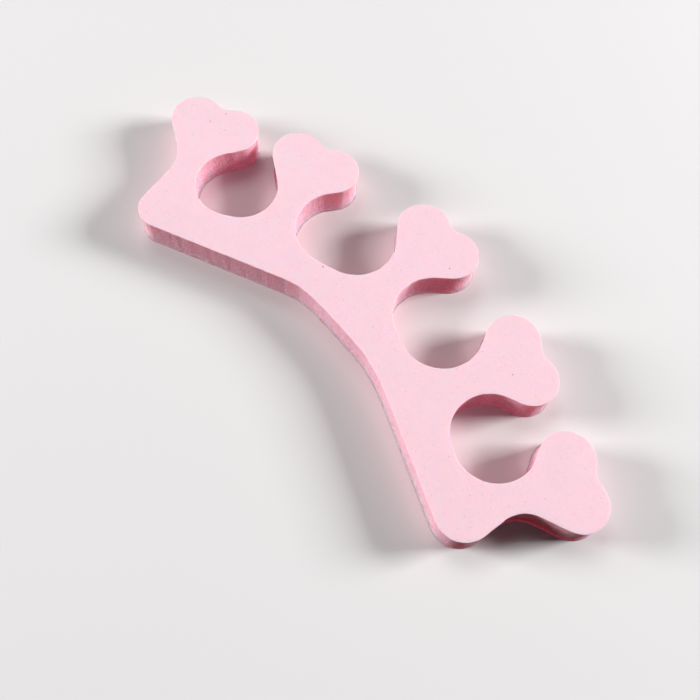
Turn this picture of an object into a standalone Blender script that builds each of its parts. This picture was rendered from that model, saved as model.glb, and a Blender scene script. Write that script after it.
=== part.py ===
"""Toe separator: one sheet of foam, die-cut into a comb with five fingers and four toe gaps.

Sizes are in millimetres and degrees, and the mesh is made in metres. The sheet lies flat
with +Z up, its length runs along X, and its fingers point towards +Y. The origin is at the
middle of the box that holds it, on the underside.

The cut line is a closed chain of round bends, each joined to the next by a straight that
touches both. A point in the plane is a complex number, x + y * 1j.
"""

import cmath
import math
from dataclasses import dataclass

import bmesh
import bpy
import numpy as np

MM = 0.001

# The sheet, and how far the cutting leaves the middle of its wall pulled in
THICKNESS = 5.5
WALL_HOLLOW = 0.2
WALL_LEVELS = 5

# The head of every finger is two round lobes with a rounded notch between them
LOBE_RADIUS = 4.4
LOBE_SPACING = 6.8
NOTCH_RADIUS = 2.2
MIDDLE_LEAN_DEG = 1.7

# Bends are drawn with a point every so many degrees, points closer than this are one, and
# an edge that turns by more than this is shaded crisp
BEND_STEP_DEG = 9.0
SAME_POINT = 0.02
CRISP_EDGE_DEG = 30.0

FOAM_COLOR = "FDD0DB"
FOAM_ROUGHNESS = 0.85


@dataclass
class Finger:
    """One finger, as placed from the next finger towards the middle, and the toe gap between.

    mouth is the clear way between the two heads, and fall_deg is how steeply the line across
    it drops outwards. lean_deg is how far the head turns outwards. The gap's floor is two
    bends of gap_radius, floor apart, on a line that drops outwards by floor_fall_deg. The
    sides of the gap are straight for inner_side and outer_side below the two heads.
    """

    mouth: float
    fall_deg: float
    lean_deg: float
    gap_radius: float
    floor: float
    floor_fall_deg: float
    inner_side: float
    outer_side: float


@dataclass
class Corner:
    """One corner of the body, placed from the middle of a gap's floor.

    foam is the width left between the gap and the sharp corner, fall_deg is the corner's
    direction below the way outwards, and rounding is the radius that rounds it.
    """

    foam: float
    fall_deg: float
    rounding: float


@dataclass
class Side:
    """What one side of the comb has from the middle finger outwards."""

    inner: Finger
    outer: Finger
    waist: Corner
    end: Corner
    back: Corner


LEFT = Side(
    inner=Finger(
        mouth=9.6,
        fall_deg=12.5,
        lean_deg=17.7,
        gap_radius=6.8,
        floor=3.5,
        floor_fall_deg=18.0,
        inner_side=3.1,
        outer_side=1.1,
    ),
    outer=Finger(
        mouth=3.3,
        fall_deg=26.3,
        lean_deg=25.0,
        gap_radius=6.1,
        floor=1.6,
        floor_fall_deg=34.0,
        inner_side=4.9,
        outer_side=2.5,
    ),
    waist=Corner(foam=4.8, fall_deg=20.0, rounding=6.2),
    end=Corner(foam=12.8, fall_deg=67.0, rounding=3.7),
    back=Corner(foam=5.3, fall_deg=102.7, rounding=17.0),
)
RIGHT = Side(
    inner=Finger(
        mouth=8.7,
        fall_deg=12.0,
        lean_deg=24.0,
        gap_radius=6.8,
        floor=2.2,
        floor_fall_deg=22.0,
        inner_side=3.0,
        outer_side=2.7,
    ),
    outer=Finger(
        mouth=4.5,
        fall_deg=23.5,
        lean_deg=32.5,
        gap_radius=6.6,
        floor=0.7,
        floor_fall_deg=27.0,
        inner_side=1.8,
        outer_side=0.3,
    ),
    waist=Corner(foam=4.3, fall_deg=26.0, rounding=5.1),
    end=Corner(foam=13.1, fall_deg=64.7, rounding=4.5),
    back=Corner(foam=5.7, fall_deg=99.2, rounding=31.5),
)


def way(distance, below_deg):
    """The step of a length that goes outwards, to +X, and down by an angle in degrees."""
    return cmath.rect(distance, -math.radians(below_deg))


def meeting(start, from_start, end, from_end):
    """The point at given distances from two points, on the right of the way between them."""
    apart = abs(end - start)
    along = (apart**2 + from_start**2 - from_end**2) / (2 * apart)
    aside = math.sqrt(from_start**2 - along**2)
    return start + (end - start) / apart * complex(along, -aside)


def lobes(centre, lean_deg):
    """The centres of a head's inner and outer lobe."""
    half = way(LOBE_SPACING / 2, lean_deg)
    return centre - half, centre + half


def notch(inner_lobe, outer_lobe):
    """The centre of the round that touches both lobes from above."""
    reach = LOBE_RADIUS + NOTCH_RADIUS
    return meeting(outer_lobe, reach, inner_lobe, reach)


def gap_floor(finger, near_lobe, far_lobe):
    """The centres of the two bends in a gap's floor, the inner one first."""
    bend = LOBE_RADIUS + finger.gap_radius
    floor = way(finger.floor, finger.floor_fall_deg)
    inner = meeting(
        near_lobe,
        math.hypot(bend, finger.inner_side),
        far_lobe - floor,
        math.hypot(bend, finger.outer_side),
    )
    return inner, inner + floor


def half_chain(side, middle_lean_deg):
    """The bends of the +X half, from the middle finger's outer lobe down and round to the back.

    Each is (place, bend, rounding). A round has its centre and its radius, which is negative
    where the foam lies outside it. A sharp corner has a bend of 0 and the radius to round it.
    """
    lobe = lobes(0j, middle_lean_deg)[1]
    chain = [(lobe, LOBE_RADIUS, 0.0)]
    floors = []
    for finger in (side.inner, side.outer):
        near = lobe + way(2 * LOBE_RADIUS + finger.mouth, finger.fall_deg)
        floor = gap_floor(finger, lobe, near)
        floors.append((sum(floor) / 2, finger.gap_radius))
        head = near + way(LOBE_SPACING / 2, finger.lean_deg)
        near, lobe = lobes(head, finger.lean_deg)
        chain += [(place, -finger.gap_radius, 0.0) for place in floor]
        chain.append((near, LOBE_RADIUS, 0.0))
        chain.append((notch(near, lobe), -NOTCH_RADIUS, 0.0))
        chain.append((lobe, LOBE_RADIUS, 0.0))
    inner_floor, outer_floor = floors
    for corner, (place, radius) in (
        (side.waist, outer_floor),
        (side.end, outer_floor),
        (side.back, inner_floor),
    ):
        point = place + way(radius + corner.foam, corner.fall_deg)
        chain.append((point, 0.0, corner.rounding))
    return chain


def whole_chain():
    """The bends all the way round, anticlockwise from the middle finger's left lobe."""
    left = [(-place.conjugate(), *sizes) for place, *sizes in half_chain(LEFT, -MIDDLE_LEAN_DEG)]
    right = half_chain(RIGHT, MIDDLE_LEAN_DEG)
    middle = (notch(left[0][0], right[0][0]), -NOTCH_RADIUS, 0.0)
    return [np.array(column) for column in zip(*left, *reversed(right), middle)]


def headings(place, bend):
    """The direction of the straight from each bend to the next, as a unit step.

    Bends that touch have no straight between them: aside is then 1 or -1, give or take the
    last digit of its arithmetic.
    """
    step = np.roll(place, -1) - place
    apart = np.abs(step)
    aside = np.clip((np.roll(bend, -1) - bend) / apart, -1, 1)
    return step / apart * np.exp(-1j * np.arcsin(aside))


def rounded(place, bend, rounding):
    """The chain with each sharp corner turned into a round that touches the same straights."""
    leaving = headings(place, bend)
    arriving = np.roll(leaving, 1)
    turn = np.angle(leaving / arriving)
    sharp = rounding > 0
    new_bend = np.where(sharp, np.copysign(rounding, turn), bend)
    back = rounding * np.tan(np.abs(turn) / 2)
    new_place = np.where(sharp, place + arriving * (1j * new_bend - back), place)
    return new_place, new_bend


def cut_line():
    """For every point of the cut line, its bend's centre and radius and its own heading."""
    place, bend = rounded(*whole_chain())
    leaving = headings(place, bend)
    arriving = np.roll(leaving, 1)
    turn = np.angle(leaving / arriving) * np.sign(bend) % (2 * math.pi) * np.sign(bend)
    centres, bends, steps = [], [], []
    for i, angle in enumerate(turn):
        count = math.ceil(abs(math.degrees(angle)) / BEND_STEP_DEG) + 1
        centres.append(np.full(count, place[i]))
        bends.append(np.full(count, bend[i]))
        steps.append(arriving[i] * np.exp(1j * np.linspace(0, angle, count)))
    centre, bend, step = (np.concatenate(rows) for rows in (centres, bends, steps))
    point = centre - 1j * step * bend
    keep = np.abs(point - np.roll(point, 1)) > SAME_POINT
    return centre[keep], bend[keep], step[keep]


def sheet_mesh(name):
    """The sheet: rings of the cut line from the underside to the top, closed by flat faces.

    A ring that is pulled in is the same chain with every bend smaller by that much, so it
    keeps its distance from the cut line. The wall's hollow is a parabola, 0 at both faces.
    """
    centre, bend, step = cut_line()
    point = centre - 1j * step * bend
    low = complex(point.real.min(), point.imag.min())
    high = complex(point.real.max(), point.imag.max())
    centre = centre - (low + high) / 2
    form = bmesh.new()
    rings = []
    for share in np.linspace(0, 1, WALL_LEVELS):
        pulled_in = WALL_HOLLOW * 4 * share * (1 - share)
        line = (centre - 1j * step * (bend - pulled_in)) * MM
        height = THICKNESS * share * MM
        rings.append([form.verts.new((p.real, p.imag, height)) for p in line])
    for lower, upper in zip(rings, rings[1:]):
        for i in range(-1, len(lower) - 1):
            form.faces.new((lower[i], lower[i + 1], upper[i + 1], upper[i]))
    form.faces.new(rings[0][::-1])
    form.faces.new(rings[-1])
    mesh = bpy.data.meshes.new(name)
    form.to_mesh(mesh)
    form.free()
    mesh.shade_smooth()
    mesh.set_sharp_from_angle(angle=math.radians(CRISP_EDGE_DEG))
    return mesh


def linear(color):
    """An sRGB hex colour as linear red, green, blue and alpha."""
    levels = [int(color[i : i + 2], 16) / 255 for i in (0, 2, 4)]
    curved = [v / 12.92 if v <= 0.04045 else ((v + 0.055) / 1.055) ** 2.4 for v in levels]
    return (*curved, 1.0)


def foam_material():
    """Soft closed-cell foam: pale pink, and matt all over."""
    material = bpy.data.materials.new("eva_foam")
    material.use_nodes = True
    shader = material.node_tree.nodes["Principled BSDF"]
    shader.inputs["Base Color"].default_value = linear(FOAM_COLOR)
    shader.inputs["Roughness"].default_value = FOAM_ROUGHNESS
    shader.inputs["Metallic"].default_value = 0.0
    return material


def main():
    for thing in list(bpy.data.objects):
        bpy.data.objects.remove(thing, do_unlink=True)
    mesh = sheet_mesh("toe_separator")
    mesh.materials.append(foam_material())
    sheet = bpy.data.objects.new("toe_separator", mesh)
    bpy.context.scene.collection.objects.link(sheet)


main()
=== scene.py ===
# %% [markdown]
# # A toe separator, cut from one sheet of foam
#
# A toe separator keeps the toes apart while their nails are painted. This one is a single
# sheet of EVA foam, a soft closed-cell plastic foam, that a sharp steel rule has stamped out
# in one stroke. So there is only one piece to dress, and all of its charm is in small
# things: how the cut edge rolls over, how the wall is left hollow by the squeezed foam, the
# fine cells, and the way that light soaks into the foam and comes out of it pinker.
#
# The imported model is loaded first. It is the fixed frame: the new piece takes its place and
# its size from it. All lengths here are in metres, and MM turns millimetres into them.

import bpy
import numpy as np
from mathutils import Matrix, Vector


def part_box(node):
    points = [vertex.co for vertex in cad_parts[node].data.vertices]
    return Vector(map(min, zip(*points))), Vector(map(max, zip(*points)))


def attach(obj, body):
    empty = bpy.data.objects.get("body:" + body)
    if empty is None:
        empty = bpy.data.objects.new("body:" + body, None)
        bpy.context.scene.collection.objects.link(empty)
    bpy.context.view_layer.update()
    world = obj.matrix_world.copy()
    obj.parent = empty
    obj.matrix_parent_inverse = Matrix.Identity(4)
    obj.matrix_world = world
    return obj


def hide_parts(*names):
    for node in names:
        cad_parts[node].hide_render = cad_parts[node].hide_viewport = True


MM = 0.001

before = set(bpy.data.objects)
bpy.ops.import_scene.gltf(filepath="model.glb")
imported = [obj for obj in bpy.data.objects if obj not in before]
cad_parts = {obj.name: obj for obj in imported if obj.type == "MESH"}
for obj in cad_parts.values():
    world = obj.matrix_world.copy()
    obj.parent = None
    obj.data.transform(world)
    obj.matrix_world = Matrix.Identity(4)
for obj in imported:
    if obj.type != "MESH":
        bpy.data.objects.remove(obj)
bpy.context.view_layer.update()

# %% [markdown]
# ## The camera
#
# The picture is taken from close by and from above, so the near end of the comb looks larger
# than the far end. Blender describes a camera by a lens and a place. To aim it, its own axes
# are built from three directions: it looks along its -Z axis, its +Y axis is up in the
# picture, and +X, to the right, is at right angles to both.

# %% Set up the camera
CAMERA_PLACE = Vector((36.5, -46.86, 121.26)) * MM
CAMERA_AIM = Vector((4.78, -9.45, 5.5)) * MM
PICTURE_UP = Vector((-0.690, 0.612, 0.387))
LENS_MM = 42.0
NEAREST = 5 * MM


def aimed(place, aim, up):
    """A camera's matrix: back is place minus aim, right is up cross back, up is their cross."""
    back = (place - aim).normalized()
    right = up.cross(back).normalized()
    axes = Matrix((right, back.cross(right), back)).transposed()
    return Matrix.Translation(place) @ axes.to_4x4()


camera = bpy.data.objects.new("camera", bpy.data.cameras.new("camera"))
camera.data.lens = LENS_MM
camera.data.clip_start = NEAREST
camera.matrix_world = aimed(CAMERA_PLACE, CAMERA_AIM, PICTURE_UP)
bpy.context.scene.collection.objects.link(camera)
bpy.context.scene.camera = camera
print("camera to aim:", round((CAMERA_PLACE - CAMERA_AIM).length / MM, 1), "mm")

# %% [markdown]
# ## The cut line
#
# The steel rule follows one closed line. The frame already holds it: it is the rim of the
# flat top. The solid came in as loose triangles, so equal corners are counted as one first.
# A rim edge is then an edge of just one top triangle: walked the other way, no top triangle
# has it. Each rim corner knows the next one, and to put them in order without stepping
# through them one by one, the steps are doubled: 1, 2, 4, 8 corners ahead, and so on.

# %% Read the rim of the top face
SAME_CORNER = 0.001 * MM


def rim_of(node):
    """The corners of a solid's top face as x, y, in order round its edge, anticlockwise."""
    mesh = node.data
    mesh.calc_loop_triangles()
    corners = np.empty((len(mesh.vertices), 3))
    mesh.vertices.foreach_get("co", corners.ravel())
    triangles = np.empty((len(mesh.loop_triangles), 3), int)
    mesh.loop_triangles.foreach_get("vertices", triangles.ravel())
    keys = np.round(corners / SAME_CORNER).astype(int)
    _, first, same = np.unique(keys, axis=0, return_index=True, return_inverse=True)
    corners, triangles = corners[first], same.ravel()[triangles]
    top = corners[:, 2].max() - SAME_CORNER
    flat = triangles[(corners[triangles, 2] > top).all(axis=1)]
    edges = np.vstack([flat[:, [0, 1]], flat[:, [1, 2]], flat[:, [2, 0]]])
    forward = edges @ (len(corners), 1)
    backward = edges @ (1, len(corners))
    rim = edges[~np.isin(forward, backward)]
    ahead = np.zeros(len(corners), int)
    ahead[rim[:, 0]] = rim[:, 1]
    order = rim[:1, 0]
    while len(order) < len(rim):
        order = np.concatenate([order, ahead[order]])
        ahead = ahead[ahead]
    return corners[order[: len(rim)], :2]


rim = rim_of(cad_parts["toe_separator"])
low, high = (np.array(corner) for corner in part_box("toe_separator"))
THICKNESS = high[2] - low[2]
print(len(rim), "rim corners; thickness", round(THICKNESS / MM, 2), "mm")

# %% [markdown]
# The solid has a corner every few degrees, which is too coarse for a close picture. A smooth
# curve through the same corners gives the real line back. Each stretch is a cubic that
# leaves a corner in the direction of the line between its two neighbours. It is then
# sampled at equal steps, and a light blur takes out what is left of the corners.

# %% Make the line smooth
STEP = 0.25 * MM
BLUR = 0.3 * MM


def around(values, k):
    """The values k steps further round a closed line."""
    return np.roll(values, -k, axis=0)


def smooth_line(corners, step):
    """A closed cubic through the corners, sampled at equal steps.

    With chord h to the next corner and slope m = (next - last) / (both chords), a stretch is
    p (2t^3 - 3t^2 + 1) + next p (3t^2 - 2t^3) + h m (t^3 - 2t^2 + t) + h next m (t^3 - t^2).
    """
    chord = np.linalg.norm(around(corners, 1) - corners, axis=1)
    slope = (around(corners, 1) - around(corners, -1)) / (chord + around(chord, -1))[:, None]
    knots = np.concatenate([[0], np.cumsum(chord)])
    along = np.linspace(0, knots[-1], round(knots[-1] / step), endpoint=False)
    i = np.searchsorted(knots, along, side="right") - 1
    j = (i + 1) % len(corners)
    h = chord[i, None]
    t = (along - knots[i])[:, None] / h
    return (
        corners[i] * (2 * t**3 - 3 * t**2 + 1)
        + corners[j] * (3 * t**2 - 2 * t**3)
        + h * slope[i] * (t**3 - 2 * t**2 + t)
        + h * slope[j] * (t**3 - t**2)
    )


def filtered(values, width, step, gain):
    """A closed row of values with each wave turned up or down by gain(wave number * width)."""
    waves = np.fft.rfftfreq(len(values), step) * 2 * np.pi
    strength = gain(waves * width)
    if values.ndim > 1:
        strength = strength[:, None]
    return np.fft.irfft(np.fft.rfft(values, axis=0) * strength, len(values), axis=0)


line = smooth_line(rim, STEP)
line = filtered(line, BLUR, STEP, lambda w: np.exp(-(w**2) / 2))
heading = around(line, 1) - around(line, -1)
heading /= np.linalg.norm(heading, axis=1, keepdims=True)
outward = np.c_[heading[:, 1], -heading[:, 0]]
print(len(line), "points,", round(len(line) * STEP / MM), "mm of cut")

# %% [markdown]
# Foam gives way under the steel rule, so the cut wanders a few hundredths of a millimetre
# from the die's line, and here and there it leaves a nick. Two nicks lie side by side on the
# first head, and the others are anywhere. The wander is noise that keeps only the waves of a
# few millimetres. The seed is fixed, so every run cuts the same sheet.
#
# The rule itself is a strip bent to shape, and at the two ends of the waist its bends are
# sharper than an arc. There the line dips inwards to a fine kink, which the light picks out.

# %% Let the cut wander
WANDER = 0.012 * MM
WANDER_WAVE = 0.4 * MM
NICKS = 4
NICKS_SEEN = np.array([(-42.1, 6.0), (-41.55, 6.5)]) * MM
NICK_DEPTH = 0.16 * MM
NICK_WIDTH = 0.25 * MM
SHALLOWEST_NICK = 0.4
KINKS = np.array([(-9.0, -8.3), (6.6, -8.35)]) * MM
KINK_DEPTH = 0.09 * MM
KINK_REACH = 2.0 * MM
SEED = 5

chance = np.random.default_rng(SEED)
wander = filtered(
    chance.normal(size=len(line)), WANDER_WAVE, STEP, lambda w: w * np.exp(-(w**2) / 2)
)
wander *= WANDER / wander.std()
along = np.arange(len(line)) * STEP
nick_places = chance.uniform(0, along[-1], NICKS)
for i, spot in enumerate(NICKS_SEEN):
    nick_places[i] = along[np.linalg.norm(line - spot, axis=1).argmin()]
nick_depths = chance.uniform(SHALLOWEST_NICK, 1, NICKS) * NICK_DEPTH
nicks = (np.exp(-(((along[:, None] - nick_places) / NICK_WIDTH) ** 2)) * nick_depths).sum(1)
for kink in KINKS:
    nearest = np.linalg.norm(line - kink, axis=1).argmin()
    wander -= KINK_DEPTH * np.exp(-np.abs(along - along[nearest]) / KINK_REACH)
print("wander", round(np.abs(wander).max() / MM, 3), "mm at most, and", NICKS, "nicks")

# %% [markdown]
# ## The profile of the edge
#
# Seen from its end, the cut wall isn't straight. The die presses the sheet down before it
# cuts, and the foam springs back: the top rim is rolled over, the middle of the wall is
# hollow, and a thin lip flares out at the foot. The profile is one curve from the flat top,
# over the rim, down the wall and round the foot to the underside. Each of its points is an
# inset from the cut line and a height.
#
# Carried along the cut line, it gives the whole wall as one grid of faces. Two flat faces
# close the sheet. The profile starts and ends on the flat, well inside the rim, so that the
# shading of the rim can't smear over the flat.

# %% Draw the profile
ROLL_IN = 0.07 * MM
ROLL_DOWN = 0.06 * MM
FOOT = 0.06 * MM
WALL_HOLLOW = 0.2 * MM
LIP = 0.2 * MM
LIP_HEIGHT = 0.2 * MM
SKIN_DRAG = 0.15 * MM
FLAT_INSETS = np.array([1.2, 0.8, 0.5]) * MM
ROLL_POINTS, WALL_POINTS, FOOT_POINTS = 9, 15, 5


def quarter(depth, reach, count):
    """Insets and drops round a quarter of an ellipse, from the flat to the wall."""
    turn = np.linspace(0, np.pi / 2, count)
    return reach * (1 - np.sin(turn)), depth * (1 - np.cos(turn))


def edge_profile():
    """The profile's insets and heights, from the top flat to the underside.

    At height share h the wall is hollow * 4 h (1 - h) in from the cut line, and the lip adds
    lip * (1 - exp(-height / lip height)) * (1 - h). Each edge adds its own rounding.
    """
    roll_inset, roll_drop = quarter(ROLL_DOWN, ROLL_IN, ROLL_POINTS)
    foot_inset, foot_rise = quarter(FOOT, FOOT, FOOT_POINTS)
    wall = np.linspace(THICKNESS - ROLL_DOWN, FOOT, WALL_POINTS)[1:-1]
    height = np.concatenate([THICKNESS - roll_drop, wall, foot_rise[::-1]])
    inset = np.concatenate([roll_inset, 0 * wall, foot_inset[::-1]])
    share = height / THICKNESS
    inset += WALL_HOLLOW * 4 * share * (1 - share)
    inset += LIP * (1 - np.exp(-height / LIP_HEIGHT)) * (1 - share)
    top = np.full(len(FLAT_INSETS), THICKNESS)
    height = np.concatenate([top, height, 0 * top])
    return np.concatenate([FLAT_INSETS, inset, FLAT_INSETS[::-1]]), height


inset, height = edge_profile()
below_roll = (THICKNESS - height - ROLL_DOWN) / SKIN_DRAG
on_wall = np.clip(np.minimum(below_roll, height / FOOT), 0, 1)
print(len(inset), "profile points; the wall is", round(inset[on_wall == 1].max() / MM, 2), "mm in")

# %% [markdown]
# ## The sheet
#
# Now the profile goes round the cut line. The wander moves the whole height of the wall, as
# the rule was one straight blade, while a nick is deepest at the rim and is gone at the foot.
# One number for each point says how far it is on the cut wall, from 0 on the flats to 1. The
# material reads it, because cut foam looks different from the sheet's own skin, which the
# blade drags over the rim.

# %% Carry the profile along the line
nick_fade = (height / THICKNESS) ** 2 * (inset < FLAT_INSETS.min())
reach = wander[:, None] - nicks[:, None] * nick_fade - inset
flat = line[:, None] + outward[:, None] * reach[..., None]
tall = np.broadcast_to(height + low[2], reach.shape)
grid = np.concatenate([flat, tall[..., None]], axis=2)


def closed_sheet(name, grid):
    """A mesh from a grid that is closed along its first axis, with a face over each end.

    Corner (i, j) is number i * rows + j. A quad runs down the wall first and then onwards,
    which makes it face outwards.
    """
    index = np.arange(grid.shape[0] * grid.shape[1]).reshape(grid.shape[:2])
    ahead = around(index, 1)
    quads = np.stack([index[:, :-1], index[:, 1:], ahead[:, 1:], ahead[:, :-1]], axis=-1)
    faces = quads.reshape(-1, 4).tolist()
    faces.append(index[:, 0].tolist())
    faces.append(index[::-1, -1].tolist())
    mesh = bpy.data.meshes.new(name)
    mesh.from_pydata(grid.reshape(-1, 3).tolist(), [], faces)
    mesh.shade_smooth()
    return mesh


mesh = closed_sheet("foam_sheet", grid)
cut = mesh.attributes.new("cut", "FLOAT", "POINT")
cut.data.foreach_set("value", np.tile(on_wall, len(line)).astype(np.float32))
sheet = bpy.data.objects.new("foam_sheet", mesh)
bpy.context.scene.collection.objects.link(sheet)
print(len(mesh.vertices), "points,", len(mesh.polygons), "faces")

# %% [markdown]
# ## The foam
#
# EVA foam is a sheet of gas bubbles in a soft plastic. Its surface is matt. Three things give
# it away as foam: fine cells, a few larger pores where a bubble was cut open, and light.
# Light goes a few millimetres into it and wanders from bubble to bubble, and the pink plastic
# takes green and blue out of it on the way. So what comes out on a shaded wall is a deeper
# pink than the top. Subsurface scattering does just that.

# %% Two helpers for materials
def linear(color):
    """An sRGB hex colour as linear red, green, blue and alpha."""
    levels = [int(color[i : i + 2], 16) / 255 for i in (0, 2, 4)]
    curved = [v / 12.92 if v <= 0.04045 else ((v + 0.055) / 1.055) ** 2.4 for v in levels]
    return (*curved, 1.0)


def add(tree, kind, inputs, **settings):
    """A node with its settings. Each input takes a value, a socket, or a node's own output."""
    node = tree.nodes.new(kind)
    for name, value in settings.items():
        setattr(node, name, value)
    for name, value in inputs.items():
        if isinstance(value, bpy.types.Node):
            value = next(socket for socket in value.outputs if socket.enabled)
        if isinstance(value, bpy.types.NodeSocket):
            tree.links.new(value, node.inputs[name])
        else:
            node.inputs[name].default_value = value
    return node


# %% [markdown]
# The patterns are solid: they fill space, and the sheet is cut out of them, as a real sheet
# is cut out of a block of foam. So they meet at every edge. Their coordinates are the
# object's own, scaled so that one unit is a millimetre, and each scale is a real size.
#
# Real cells are about a tenth of a millimetre wide, which is finer than a pixel of this
# picture, so they are drawn 0.28 mm wide. The clouds are the slow change in how densely the
# cells lie.

# %% Cells and clouds
CELL_MM = 0.28
CLOUD_MM = 1.8

foam = bpy.data.materials.new("eva_foam")
foam.use_nodes = True
tree = foam.node_tree
local = add(tree, "ShaderNodeTexCoord", {}).outputs["Object"]
place = add(tree, "ShaderNodeVectorMath", {0: local, "Scale": 1 / MM}, operation="SCALE")
on_cut = add(tree, "ShaderNodeAttribute", {}, attribute_name="cut").outputs["Fac"]
cells = add(tree, "ShaderNodeTexVoronoi", {"Vector": place, "Scale": 1 / CELL_MM})
cell_color = add(tree, "ShaderNodeSeparateColor", {"Color": cells.outputs["Color"]})
clouds = add(
    tree,
    "ShaderNodeTexNoise",
    {"Vector": place, "Scale": 1 / CLOUD_MM, "Detail": 3.0, "Roughness": 0.6},
)
print("cells", CELL_MM, "mm and clouds", CLOUD_MM, "mm wide")

# %% [markdown]
# A pore is a bubble that the surface has cut open. Bubbles lie scattered in space, each with
# its own radius, and where the surface passes through one, a small round hole shows. There
# are many pinholes and a few pores, the largest of them half a millimetre wide.

# %% Pores and pinholes
PORE_SPACING_MM = 2.8
PORE_RADIUS_MM = 0.24
PINHOLE_SPACING_MM = 0.55
PINHOLE_RADIUS_MM = 0.14
PINHOLE_STRENGTH = 0.45
SOFT_EDGE = 0.5


def bubbles(spacing, radius):
    """1 inside round bubbles that lie about a spacing apart, and 0 outside them.

    A bubble's own radius is the given one times its cell's random red value. To compare it
    with one limit, the distance from the bubble's centre is divided by that value instead.
    """
    nearest = add(tree, "ShaderNodeTexVoronoi", {"Vector": place, "Scale": 1 / spacing})
    size = add(tree, "ShaderNodeSeparateColor", {"Color": nearest.outputs["Color"]})
    distance = add(
        tree,
        "ShaderNodeMath",
        {0: nearest.outputs["Distance"], 1: size.outputs["Red"]},
        operation="DIVIDE",
    )
    limit = radius / spacing
    return add(
        tree,
        "ShaderNodeMapRange",
        {"Value": distance, 1: limit * SOFT_EDGE, 2: limit, 3: 1.0, 4: 0.0},
        interpolation_type="SMOOTHSTEP",
    )


pores = bubbles(PORE_SPACING_MM, PORE_RADIUS_MM)
pinholes = bubbles(PINHOLE_SPACING_MM, PINHOLE_RADIUS_MM)
faint = add(tree, "ShaderNodeMath", {0: pinholes, 1: PINHOLE_STRENGTH}, operation="MULTIPLY")
holes = add(tree, "ShaderNodeMath", {0: pores, 1: faint}, operation="MAXIMUM")
print("pores up to", 2 * PORE_RADIUS_MM, "mm and pinholes up to", 2 * PINHOLE_RADIUS_MM, "mm")

# %% [markdown]
# The sheet's skin is pale and even. The cut wall shows the insides of the bubbles, so it is a
# shade deeper and more mottled: patches of opened cells, about half a millimetre wide.
# On the skin each place gets its colour from its cell's random value and from the clouds. A
# hole is painted a darker pink: partly the bubble's own deeper pink, and partly painted shade
# in the hollow of the hole.

# %% Colours
PATCH_MM = 0.45
SKIN = ("FBD5DF", "F9CDD9")
WALL = ("FDC0CF", "FBA9BE")
# The holes' colour: the bubble's deeper pink, darkened by painted shade.
HOLE_PINK_AND_SHADE = "C8708A"
HOLE_SHADE_STRENGTH = 0.6
MOTTLE_FROM, MOTTLE_TO = 0.38, 0.62

grain = add(
    tree, "ShaderNodeMath", {0: clouds, 1: cell_color.outputs["Red"]}, operation="MULTIPLY"
)
patches = add(
    tree, "ShaderNodeTexNoise", {"Vector": place, "Scale": 1 / PATCH_MM, "Detail": 2.0}
)
mottle = add(
    tree,
    "ShaderNodeMapRange",
    {"Value": patches, 1: MOTTLE_FROM, 2: MOTTLE_TO},
    interpolation_type="SMOOTHSTEP",
)
skin, wall = (
    add(
        tree,
        "ShaderNodeMix",
        {0: pattern, 6: linear(pale), 7: linear(deep)},
        data_type="RGBA",
    )
    for pattern, (pale, deep) in ((grain, SKIN), (mottle, WALL))
)
foam_color = add(tree, "ShaderNodeMix", {0: on_cut, 6: skin, 7: wall}, data_type="RGBA")
# How far painted shade darkens each hole.
hole_shade_share = add(tree, "ShaderNodeMath", {0: holes, 1: HOLE_SHADE_STRENGTH}, operation="MULTIPLY")
color = add(
    tree, "ShaderNodeMix", {0: hole_shade_share, 6: foam_color, 7: linear(HOLE_PINK_AND_SHADE)}, data_type="RGBA"
)
print("skin", SKIN, "wall", WALL)

# %% [markdown]
# A bump map tilts the shading as if the surface rose and fell. Three of them, one after the
# other, are enough here, as all of this is far finer than the mesh. On the wall the blade
# drags the cut cells a little upright: noise that is twice as tall as it is wide. The patches
# of opened cells are torn a little deeper than the rest.

# %% Relief and roughness
BLADE_MARK_MM = 0.35
BLADE_MARK_STRETCH = 0.5
SKIN_RELIEF = 0.004 * MM
WALL_RELIEF = 0.06 * MM
HOLE_DEPTH = 0.05 * MM
LEAST_ROUGH, MOST_ROUGH = 0.72, 0.9

upright = add(
    tree,
    "ShaderNodeVectorMath",
    {0: place, 1: (1, 1, BLADE_MARK_STRETCH)},
    operation="MULTIPLY",
)
marks = add(
    tree,
    "ShaderNodeTexNoise",
    {"Vector": upright, "Scale": 1 / BLADE_MARK_MM, "Detail": 2.0},
)
torn = add(tree, "ShaderNodeMath", {0: marks, 1: patches}, operation="ADD")
cut_marks = add(tree, "ShaderNodeMath", {0: torn, 1: on_cut}, operation="MULTIPLY")
rise = add(
    tree,
    "ShaderNodeMapRange",
    {"Value": on_cut, 3: SKIN_RELIEF, 4: WALL_RELIEF},
)
relief = add(
    tree,
    "ShaderNodeBump",
    {"Height": cells.outputs["Distance"], "Distance": rise, "Strength": 1.0},
)
marked = add(
    tree,
    "ShaderNodeBump",
    {"Height": cut_marks, "Distance": WALL_RELIEF, "Strength": 1.0, "Normal": relief},
)
pitted = add(
    tree,
    "ShaderNodeBump",
    {"Height": holes, "Distance": HOLE_DEPTH, "Strength": 1.0, "Normal": marked},
    invert=True,
)
rough = add(tree, "ShaderNodeMapRange", {"Value": grain, 3: LEAST_ROUGH, 4: MOST_ROUGH})
print("relief", SKIN_RELIEF / MM, "mm on the skin and", WALL_RELIEF / MM, "mm on the wall")

# %% [markdown]
# The shader ties it together. EVA's index of refraction is 1.48. In this foam red light
# travels much further than green and blue, which the pink plastic soaks up. On the skin the
# cells are closed and light stays near. On the cut they are open, so light passes deep and
# the wall glows with the red that comes down from the lit top. So the scale of the
# scattering follows the cut, while the radius, which says how the three colours compare, is
# the same all over and is set on the shader's own socket, as are all such numbers.

# %% The foam's surface
SKIN_DEPTH = 0.5 * MM
WALL_DEPTH = 2.5 * MM
EVA_IOR = 1.48
GLOSS = 0.2
COLOUR_REACH = (1.0, 0.28, 0.36)

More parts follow.
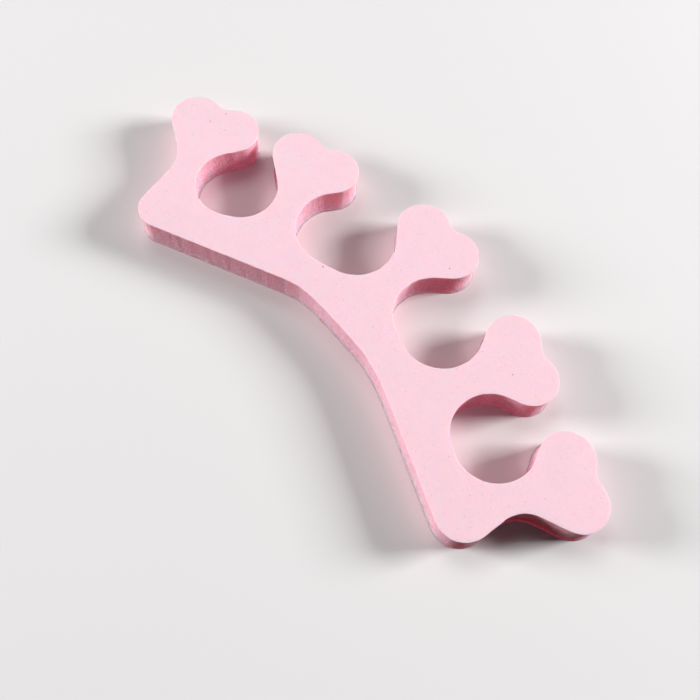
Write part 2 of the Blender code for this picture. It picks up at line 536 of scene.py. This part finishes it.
depth = add(tree, "ShaderNodeMapRange", {"Value": on_cut, 3: SKIN_DEPTH, 4: WALL_DEPTH})
shader = tree.nodes["Principled BSDF"]
tree.links.new(depth.outputs[0], shader.inputs["Subsurface Scale"])
tree.links.new(color.outputs[2], shader.inputs["Base Color"])
tree.links.new(rough.outputs[0], shader.inputs["Roughness"])
tree.links.new(pitted.outputs[0], shader.inputs["Normal"])
shader.inputs["IOR"].default_value = EVA_IOR
shader.inputs["Specular IOR Level"].default_value = GLOSS
shader.inputs["Subsurface Weight"].default_value = 1.0
shader.inputs["Subsurface Radius"].default_value = COLOUR_REACH
mesh.materials.append(foam)
print(len(tree.nodes), "nodes in the foam's material")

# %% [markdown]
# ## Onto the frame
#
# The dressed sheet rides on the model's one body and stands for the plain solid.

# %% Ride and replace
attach(sheet, "root")
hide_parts("toe_separator")

# %% [markdown]
# ## The floor
#
# The floor is a wide pale plane just under the sheet. The camera, and anything that mirrors,
# sees its true, pale colour. Soft light sees a dark, rosy one, so that the floor throws little
# light up at the walls, and they keep the deep shade that they have in the photo. Light Path
# tells the one kind of ray from the other.
#
# Red light that soaks down through the foam gets caught between the sheet and the floor, and
# goes back in. Following it there and back takes more bounces than a render spends on it. So
# under the sheet the floor glows, though it is no lamp: it gives a faint rosy light to the rays
# that have only just left the underside, which are shorter than a twentieth of a millimetre.
# Nothing else sees it. This glow goes up into the sheet and lights its walls a deeper pink from
# below, most of all at their foot.

# %% Lay the floor
FLOOR_SIZE = 0.8
FLOOR_GAP = 0.02 * MM
FLOOR_SEEN = "E3E1E1"
FLOOR_BOUNCE = "5E262C"
# The colour of the floor's glow, a light that the floor gives off though it is no lamp.
FLOOR_GLOW_COLOR = "FF5A85"
FLOOR_GLOW_STRENGTH = 0.3
FLOOR_GLOW_WITHIN = 0.05 * MM
PAPER_ROUGHNESS = 0.95


def true_color_or(tree, seen, bounced):
    """The seen colour for camera, glossy and transmission rays, and the other for the rest."""
    ray = add(tree, "ShaderNodeLightPath", {}).outputs
    mirrored = add(
        tree,
        "ShaderNodeMath",
        {0: ray["Is Glossy Ray"], 1: ray["Is Transmission Ray"]},
        operation="MAXIMUM",
    )
    direct = add(
        tree, "ShaderNodeMath", {0: ray["Is Camera Ray"], 1: mirrored}, operation="MAXIMUM"
    )
    return add(tree, "ShaderNodeMix", {0: direct, 6: bounced, 7: seen}, data_type="RGBA")


floor_material = bpy.data.materials.new("matt_paper")
floor_material.use_nodes = True
paper = floor_material.node_tree
floor_color = true_color_or(paper, linear(FLOOR_SEEN), linear(FLOOR_BOUNCE))
floor_shader = paper.nodes["Principled BSDF"]
paper.links.new(floor_color.outputs[2], floor_shader.inputs["Base Color"])
floor_shader.inputs["Roughness"].default_value = PAPER_ROUGHNESS

# The floor's glow: emission that lights the sheet's underside and walls from below.
ray_length = add(paper, "ShaderNodeLightPath", {}).outputs["Ray Length"]
near_underside = add(paper, "ShaderNodeMath", {0: ray_length, 1: FLOOR_GLOW_WITHIN}, operation="LESS_THAN")
glow = add(paper, "ShaderNodeMath", {0: near_underside, 1: FLOOR_GLOW_STRENGTH}, operation="MULTIPLY")
paper.links.new(glow.outputs[0], floor_shader.inputs["Emission Strength"])
floor_shader.inputs["Emission Color"].default_value = linear(FLOOR_GLOW_COLOR)
floor_material.cycles.emission_sampling = "NONE"

half = FLOOR_SIZE / 2
level = low[2] - FLOOR_GAP
corners = [(-half, -half, level), (half, -half, level), (half, half, level), (-half, half, level)]
floor_mesh = bpy.data.meshes.new("floor")
floor_mesh.from_pydata(corners, [], [(0, 1, 2, 3)])
floor_mesh.materials.append(floor_material)
floor = bpy.data.objects.new("floor", floor_mesh)
bpy.context.scene.collection.objects.link(floor)

# %% [markdown]
# ## The light
#
# Three large soft lamps light the sheet. One hangs high behind it. One stands at the left of
# the picture and one at the right, low enough to light the walls that face them. No lamp
# lights the walls that face the bottom of the picture. They get only the light that comes
# through the foam, the floor's rosy glow from below and the world's faint light, and those show
# the deep pink. A lamp of P watts at d metres lights what faces it with P / (pi d^2), and a
# white surface turns a light of pi into a full white. So each lamp's power comes from the share
# of white it gives. On the top face the three add up to about one full white, so colours render
# about as they are written.

# %% Hang the lamps
LAMPS = {
    "back": {"azimuth": 160, "elevation": 60, "share": 0.2, "size": 0.35},
    "left": {"azimuth": -138, "elevation": 19, "share": 1.12, "size": 0.25},
    "right": {"azimuth": 55, "elevation": 24, "share": 1.38, "size": 0.25},
}
LAMP_DISTANCE = 0.8
WORLD_LIGHT = "1C1C1C"
WORLD_SEEN = "F4F3F3"


def lamp(name, azimuth, elevation, share, size):
    """A square lamp that faces the origin from a direction, with that share of full white."""
    around_z, up = np.radians([azimuth, elevation])
    toward = Vector((np.cos(around_z) * np.cos(up), np.sin(around_z) * np.cos(up), np.sin(up)))
    light = bpy.data.lights.new(name, "AREA")
    light.size = size
    light.energy = share * np.pi**2 * LAMP_DISTANCE**2
    made = bpy.data.objects.new(name, light)
    made.location = toward * LAMP_DISTANCE
    made.rotation_euler = toward.to_track_quat("Z", "Y").to_euler()
    bpy.context.scene.collection.objects.link(made)
    return made


for name, sizes in LAMPS.items():
    made = lamp(name, **sizes)
    print(name, "lamp", round(made.data.energy, 2), "W")

# %% [markdown]
# The world adds a little even light to it all, and shows the camera a pale backdrop. View
# transform Standard leaves every colour as it is worked out.

# %% The world
world = bpy.data.worlds.new("studio")
bpy.context.scene.world = world
world.use_nodes = True
sky = world.node_tree
sky_color = true_color_or(sky, linear(WORLD_SEEN), linear(WORLD_LIGHT))
sky.links.new(sky_color.outputs[2], sky.nodes["Background"].inputs["Color"])

bpy.context.scene.view_settings.view_transform = "Standard"
